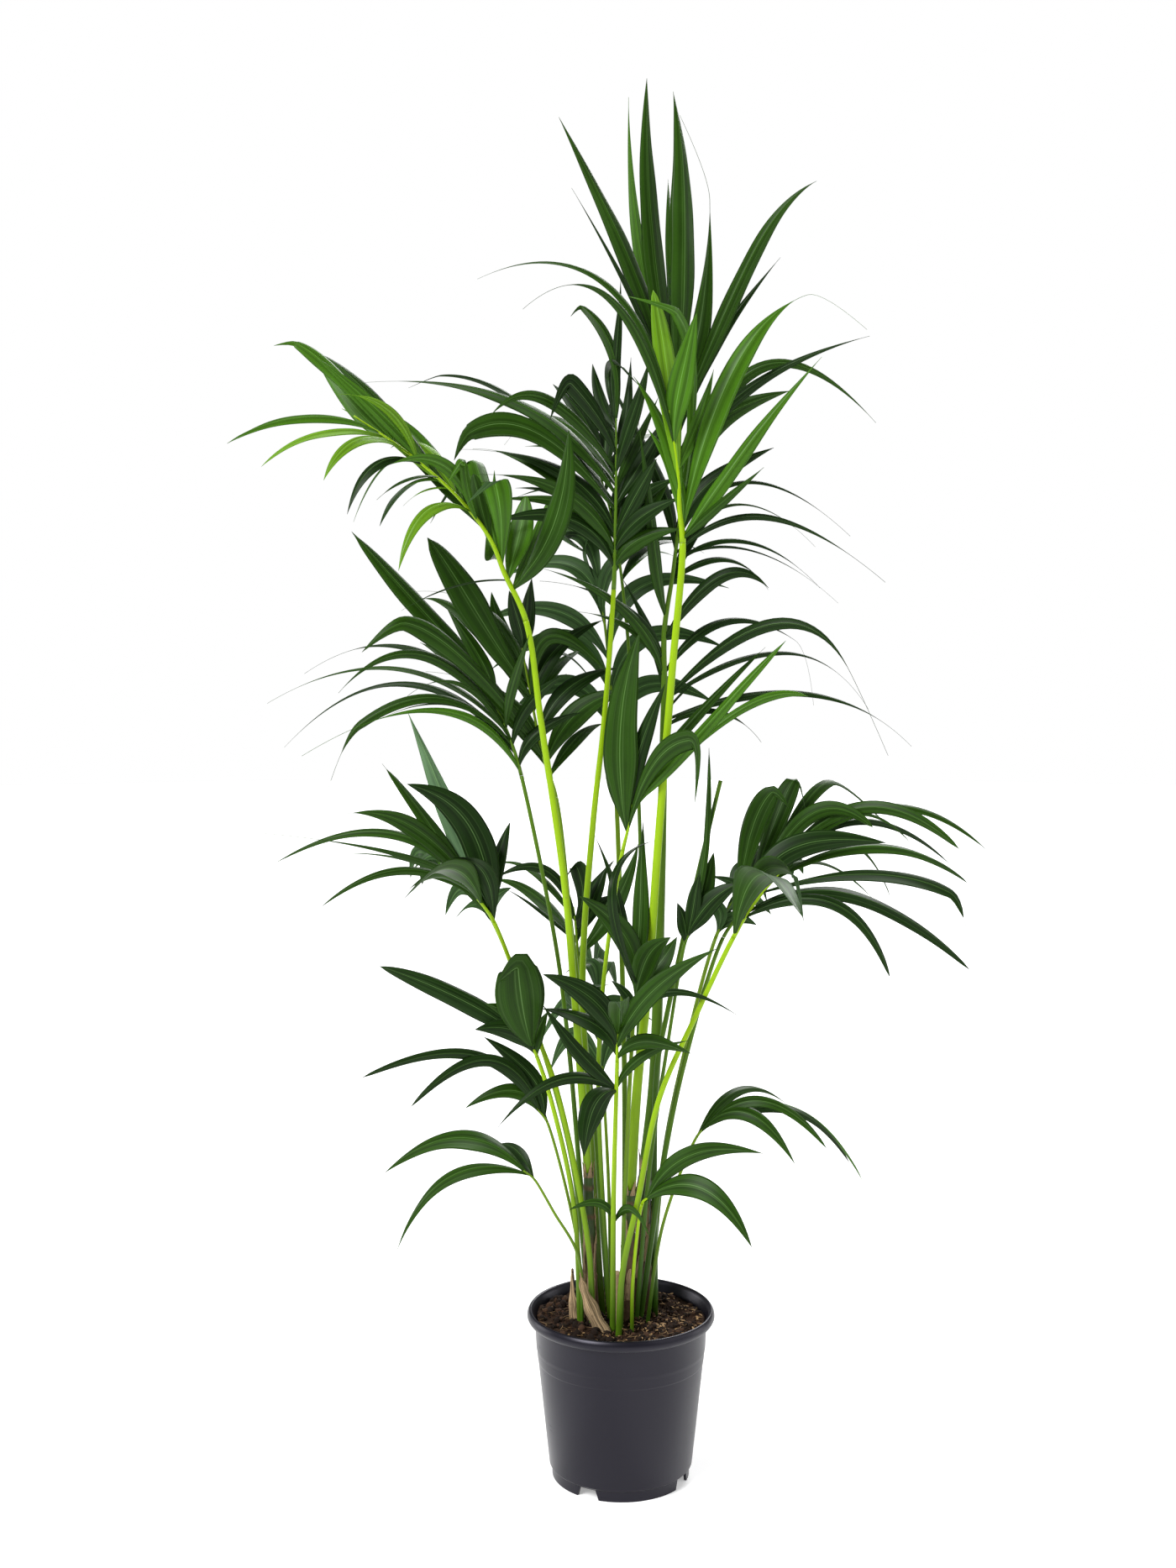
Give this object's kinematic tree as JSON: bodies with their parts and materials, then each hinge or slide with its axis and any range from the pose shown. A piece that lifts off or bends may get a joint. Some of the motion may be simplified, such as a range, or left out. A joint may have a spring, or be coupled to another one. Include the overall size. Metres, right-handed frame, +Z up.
{
  "type": "potted kentia palm",
  "caption": "Tall indoor palm in a round dark nursery pot: a clump of slender green stalks with arching feathered fronds on old ringed canes.",
  "frame": {"origin": "on the floor, under the middle of the pot", "axes": "+Z up along the plant's height, the side that faces the viewer is -Y, +X to its right"},
  "size_m": [0.9563, 0.6456, 1.7626],
  "materials": {
    "leaf": "satin dark green leaflets with pale parallel veins, yellow-green where the sun shines through",
    "stalk": "smooth yellow-green leaf stalks, darker towards the back",
    "cane": "dark green and brown ringed canes with dry fibrous strips",
    "husk": "dry tan leaf sheaths, matt and fibrous",
    "soil": "crumbly dark brown potting soil with light chips",
    "pot": "charcoal satin moulded plastic with a rolled rim"
  },
  "bodies": {
    "root": {"cane_centre": "cane", "cane_left": "cane", "cane_right": "cane", "cut_petiole": "stalk", "cut_stub": "stalk", "frond_back_left": "leaf", "frond_back_low": "leaf", "frond_back_right": "leaf", "frond_back_tall": "leaf", "frond_centre_back": "leaf", "frond_centre_front": "leaf", "frond_centre_high": "leaf", "frond_centre_mid": "leaf", "frond_front_right_low": "leaf", "frond_left_arch": "leaf", "frond_left_oval": "leaf", "frond_low_arch_left": "leaf", "frond_low_left": "leaf", "frond_low_right": "leaf", "frond_lower_left": "leaf", "frond_lower_right": "leaf", "frond_lower_right_back": "leaf", "frond_mid_left": "leaf", "frond_mid_left_back": "leaf", "frond_right_front": "leaf", "frond_right_small": "leaf", "frond_small_back_left": "leaf", "frond_tall_back": "leaf", "frond_thin_back": "leaf", "husk_front": "husk", "husk_side": "husk", "pot": "pot", "soil": "soil", "stalk_back_left": "stalk", "stalk_back_low": "stalk", "stalk_back_right": "stalk", "stalk_back_tall": "stalk", "stalk_centre_back": "stalk", "stalk_centre_front": "stalk", "stalk_centre_high": "stalk", "stalk_centre_mid": "stalk", "stalk_front_right_low": "stalk", "stalk_left_arch": "stalk", "stalk_left_oval": "stalk", "stalk_low_arch_left": "stalk", "stalk_low_left": "stalk", "stalk_low_right": "stalk", "stalk_lower_left": "stalk", "stalk_lower_right": "stalk", "stalk_lower_right_back": "stalk", "stalk_mid_left": "stalk", "stalk_mid_left_back": "stalk", "stalk_right_front": "stalk", "stalk_right_small": "stalk", "stalk_small_back_left": "stalk", "stalk_tall_back": "stalk", "stalk_thin_back": "stalk"}
  },
  "joints": []
}
